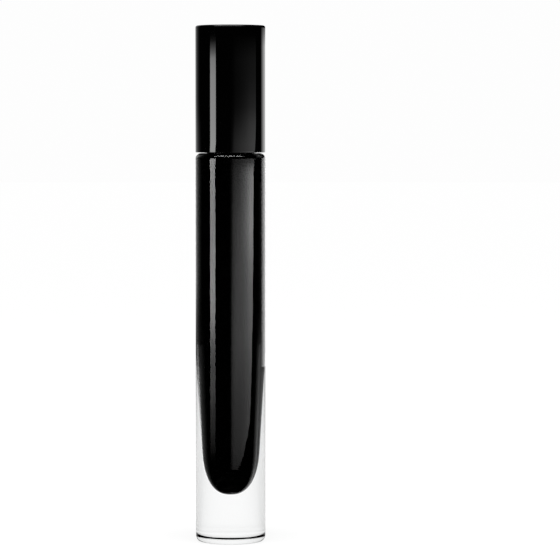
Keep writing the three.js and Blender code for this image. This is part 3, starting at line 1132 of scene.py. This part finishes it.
def make_cards():
    """The soft-boxes. Their tables are (height or angle, light) points, read by along()."""
    material = glow_material()
    near, far = 158.0, 500.0
    tall = (0.0, 124.0)
    taller = (-100.0, 400.0)
    strip_light = [
        (3, 0.0), (10, 0.3), (17, 0.55), (23.5, 1.1), (30, 1.2), (37, 2.2), (41, 3.8),
        (47, 4.9), (54, 5.3), (71, 4.8), (85, 5.5), (92, 6.5), (99, 5.9), (112, 5.3),
        (117, 4.4), (119, 2.0), (121.5, 0.2), (123.5, 0.0),
    ]
    make_card(
        "strip_left", material, near, tall,
        lambda z: -67.4 if z > JACKET_TOP else -68.3,
        lambda z: -46.8 if z > JACKET_TOP else -49.0,
        lambda degrees, z: along(strip_light, z),
    )

    panel_edge = [
        (0, 25), (3, 40), (6.5, 49), (10, 59), (13, 65), (17, 68), (23.5, 71), (30, 74),
        (37, 75.3), (44, 78.2), (58, 79.4), (71, 80.5), (85, 82.5), (88, 84.5), (94, 90),
        (99, 92),
    ]
    broad = [
        (0, 0.3), (6, 0.5), (17, 0.62), (30, 0.93), (37, 1.1), (58, 1.2), (71, 1.15),
        (85, 0.75), (88, 0.42), (92, 0.62), (99, 0.3), (103, 0.14), (108, 0.09), (117, 0.09),
        (124, 0.0),
    ]
    broad_across = [(0, 0.0), (5, 0.14), (9, 0.48), (15, 0.67), (24, 0.88), (36, 1.0)]
    broad_sharpness = [(17, 2.0), (37, 1.6), (57, 1.15), (80, 0.85), (92, 0.7), (100, 0.52)]
    hot = [
        (0, 0.0), (3, 0.3), (10, 0.8), (17, 0.65), (30, 0.7), (37, 1.05), (51, 1.5),
        (58, 1.9), (64, 2.8), (71, 3.35), (78, 3.2), (85, 2.85), (88, 0.35), (99, 0.38),
        (103, 0.2), (112, 0.06), (124, 0.0),
    ]
    hot_across = [(30, 0.0), (44, 0.2), (55, 0.48), (67, 0.9), (74, 1.0)]

    def panel_glow(degrees, z):
        sharpened = degrees * along(broad_sharpness, z)
        base = along(broad, z) * along(broad_across, sharpened)
        return base + along(hot, z) * along(hot_across, degrees)

    make_card(
        "panel_right", material, near, tall,
        lambda z: 0.0, lambda z: along(panel_edge, z), panel_glow,
    )

    wall_top = [(132, 1.0), (137, 0.22), (140, 0.0)]
    wall_across = [(122, 0.1), (128, 0.7), (134, 1.2), (144, 1.5), (160, 1.2)]
    make_card(
        "wall_right", material, far, taller,
        lambda z: 122.0, lambda z: 180.0,
        lambda degrees, z: along(wall_top, z) * along(wall_across, degrees),
    )

    wall_fall = [
        (-180, 1.0), (-160, 0.6), (-146, 0.32), (-137, 0.15), (-128, 0.05), (-118, 0.0),
    ]
    wall_lean = [(92, -10.0), (105, 0.0)]
    wall_foot = [(8, 0.1), (20, 0.4), (35, 1.0)]

    def wall_glow(degrees, z):
        return along(wall_fall, degrees + along(wall_lean, z)) * along(wall_foot, z)

    make_card(
        "wall_left", material, far, taller,
        lambda z: -180.0, lambda z: -100.0, wall_glow,
    )

    above_across = [(-72, 6.5), (-40, 4.4), (0, 3.6), (42, 4.2), (56, 2.4), (66, 0.0)]
    make_card(
        "above_front", material, 300.0, (400.0, 1000.0),
        lambda z: -72.0, lambda z: 66.0,
        lambda degrees, z: along(above_across, degrees),
    )


def make_overhead():
    """A large soft light above and a little in front."""
    data = bpy.data.lights.new("overhead", "AREA")
    data.shape = "RECTANGLE"
    data.size = 0.8
    data.size_y = 0.4
    data.energy = 3.7
    light = bpy.data.objects.new("overhead", data)
    light.location = (0.0, -0.08, 0.59)
    light.visible_camera = False
    light.visible_glossy = False
    light.visible_transmission = False
    bpy.context.scene.collection.objects.link(light)


# ---- the whole scene ----

make_jacket(acrylic_material())
make_vial(
    embedded_material(),
    moulded_black(
        "neck_plastic", (0.006, 0.006, 0.0065), (0.011, 0.011, 0.012), 0.2, 0.3, 0.000002,
    ),
)
make_wiper(wiper_material())
make_seal(seal_material())
make_cap(cap_material())
make_insert(moulded_black(
    "insert_plastic", (0.010, 0.010, 0.0105), (0.018, 0.018, 0.019), 0.34, 0.46, 0.000005,
))
make_weight(steel_material("turned_steel", (40.0, 40.0, 9000.0), 0.28, 0.42))
make_rod(moulded_black(
    "stem_plastic", (0.010, 0.0088, 0.0085), (0.016, 0.0145, 0.014), 0.42, 0.55, 0.000004,
))
make_wire(steel_material("drawn_steel", (9000.0, 9000.0, 900.0), 0.25, 0.4))
make_bristles(fibre_material())

make_camera()
make_world()
make_floor()
make_cards()
make_overhead()
bpy.context.scene.view_settings.view_transform = "Standard"
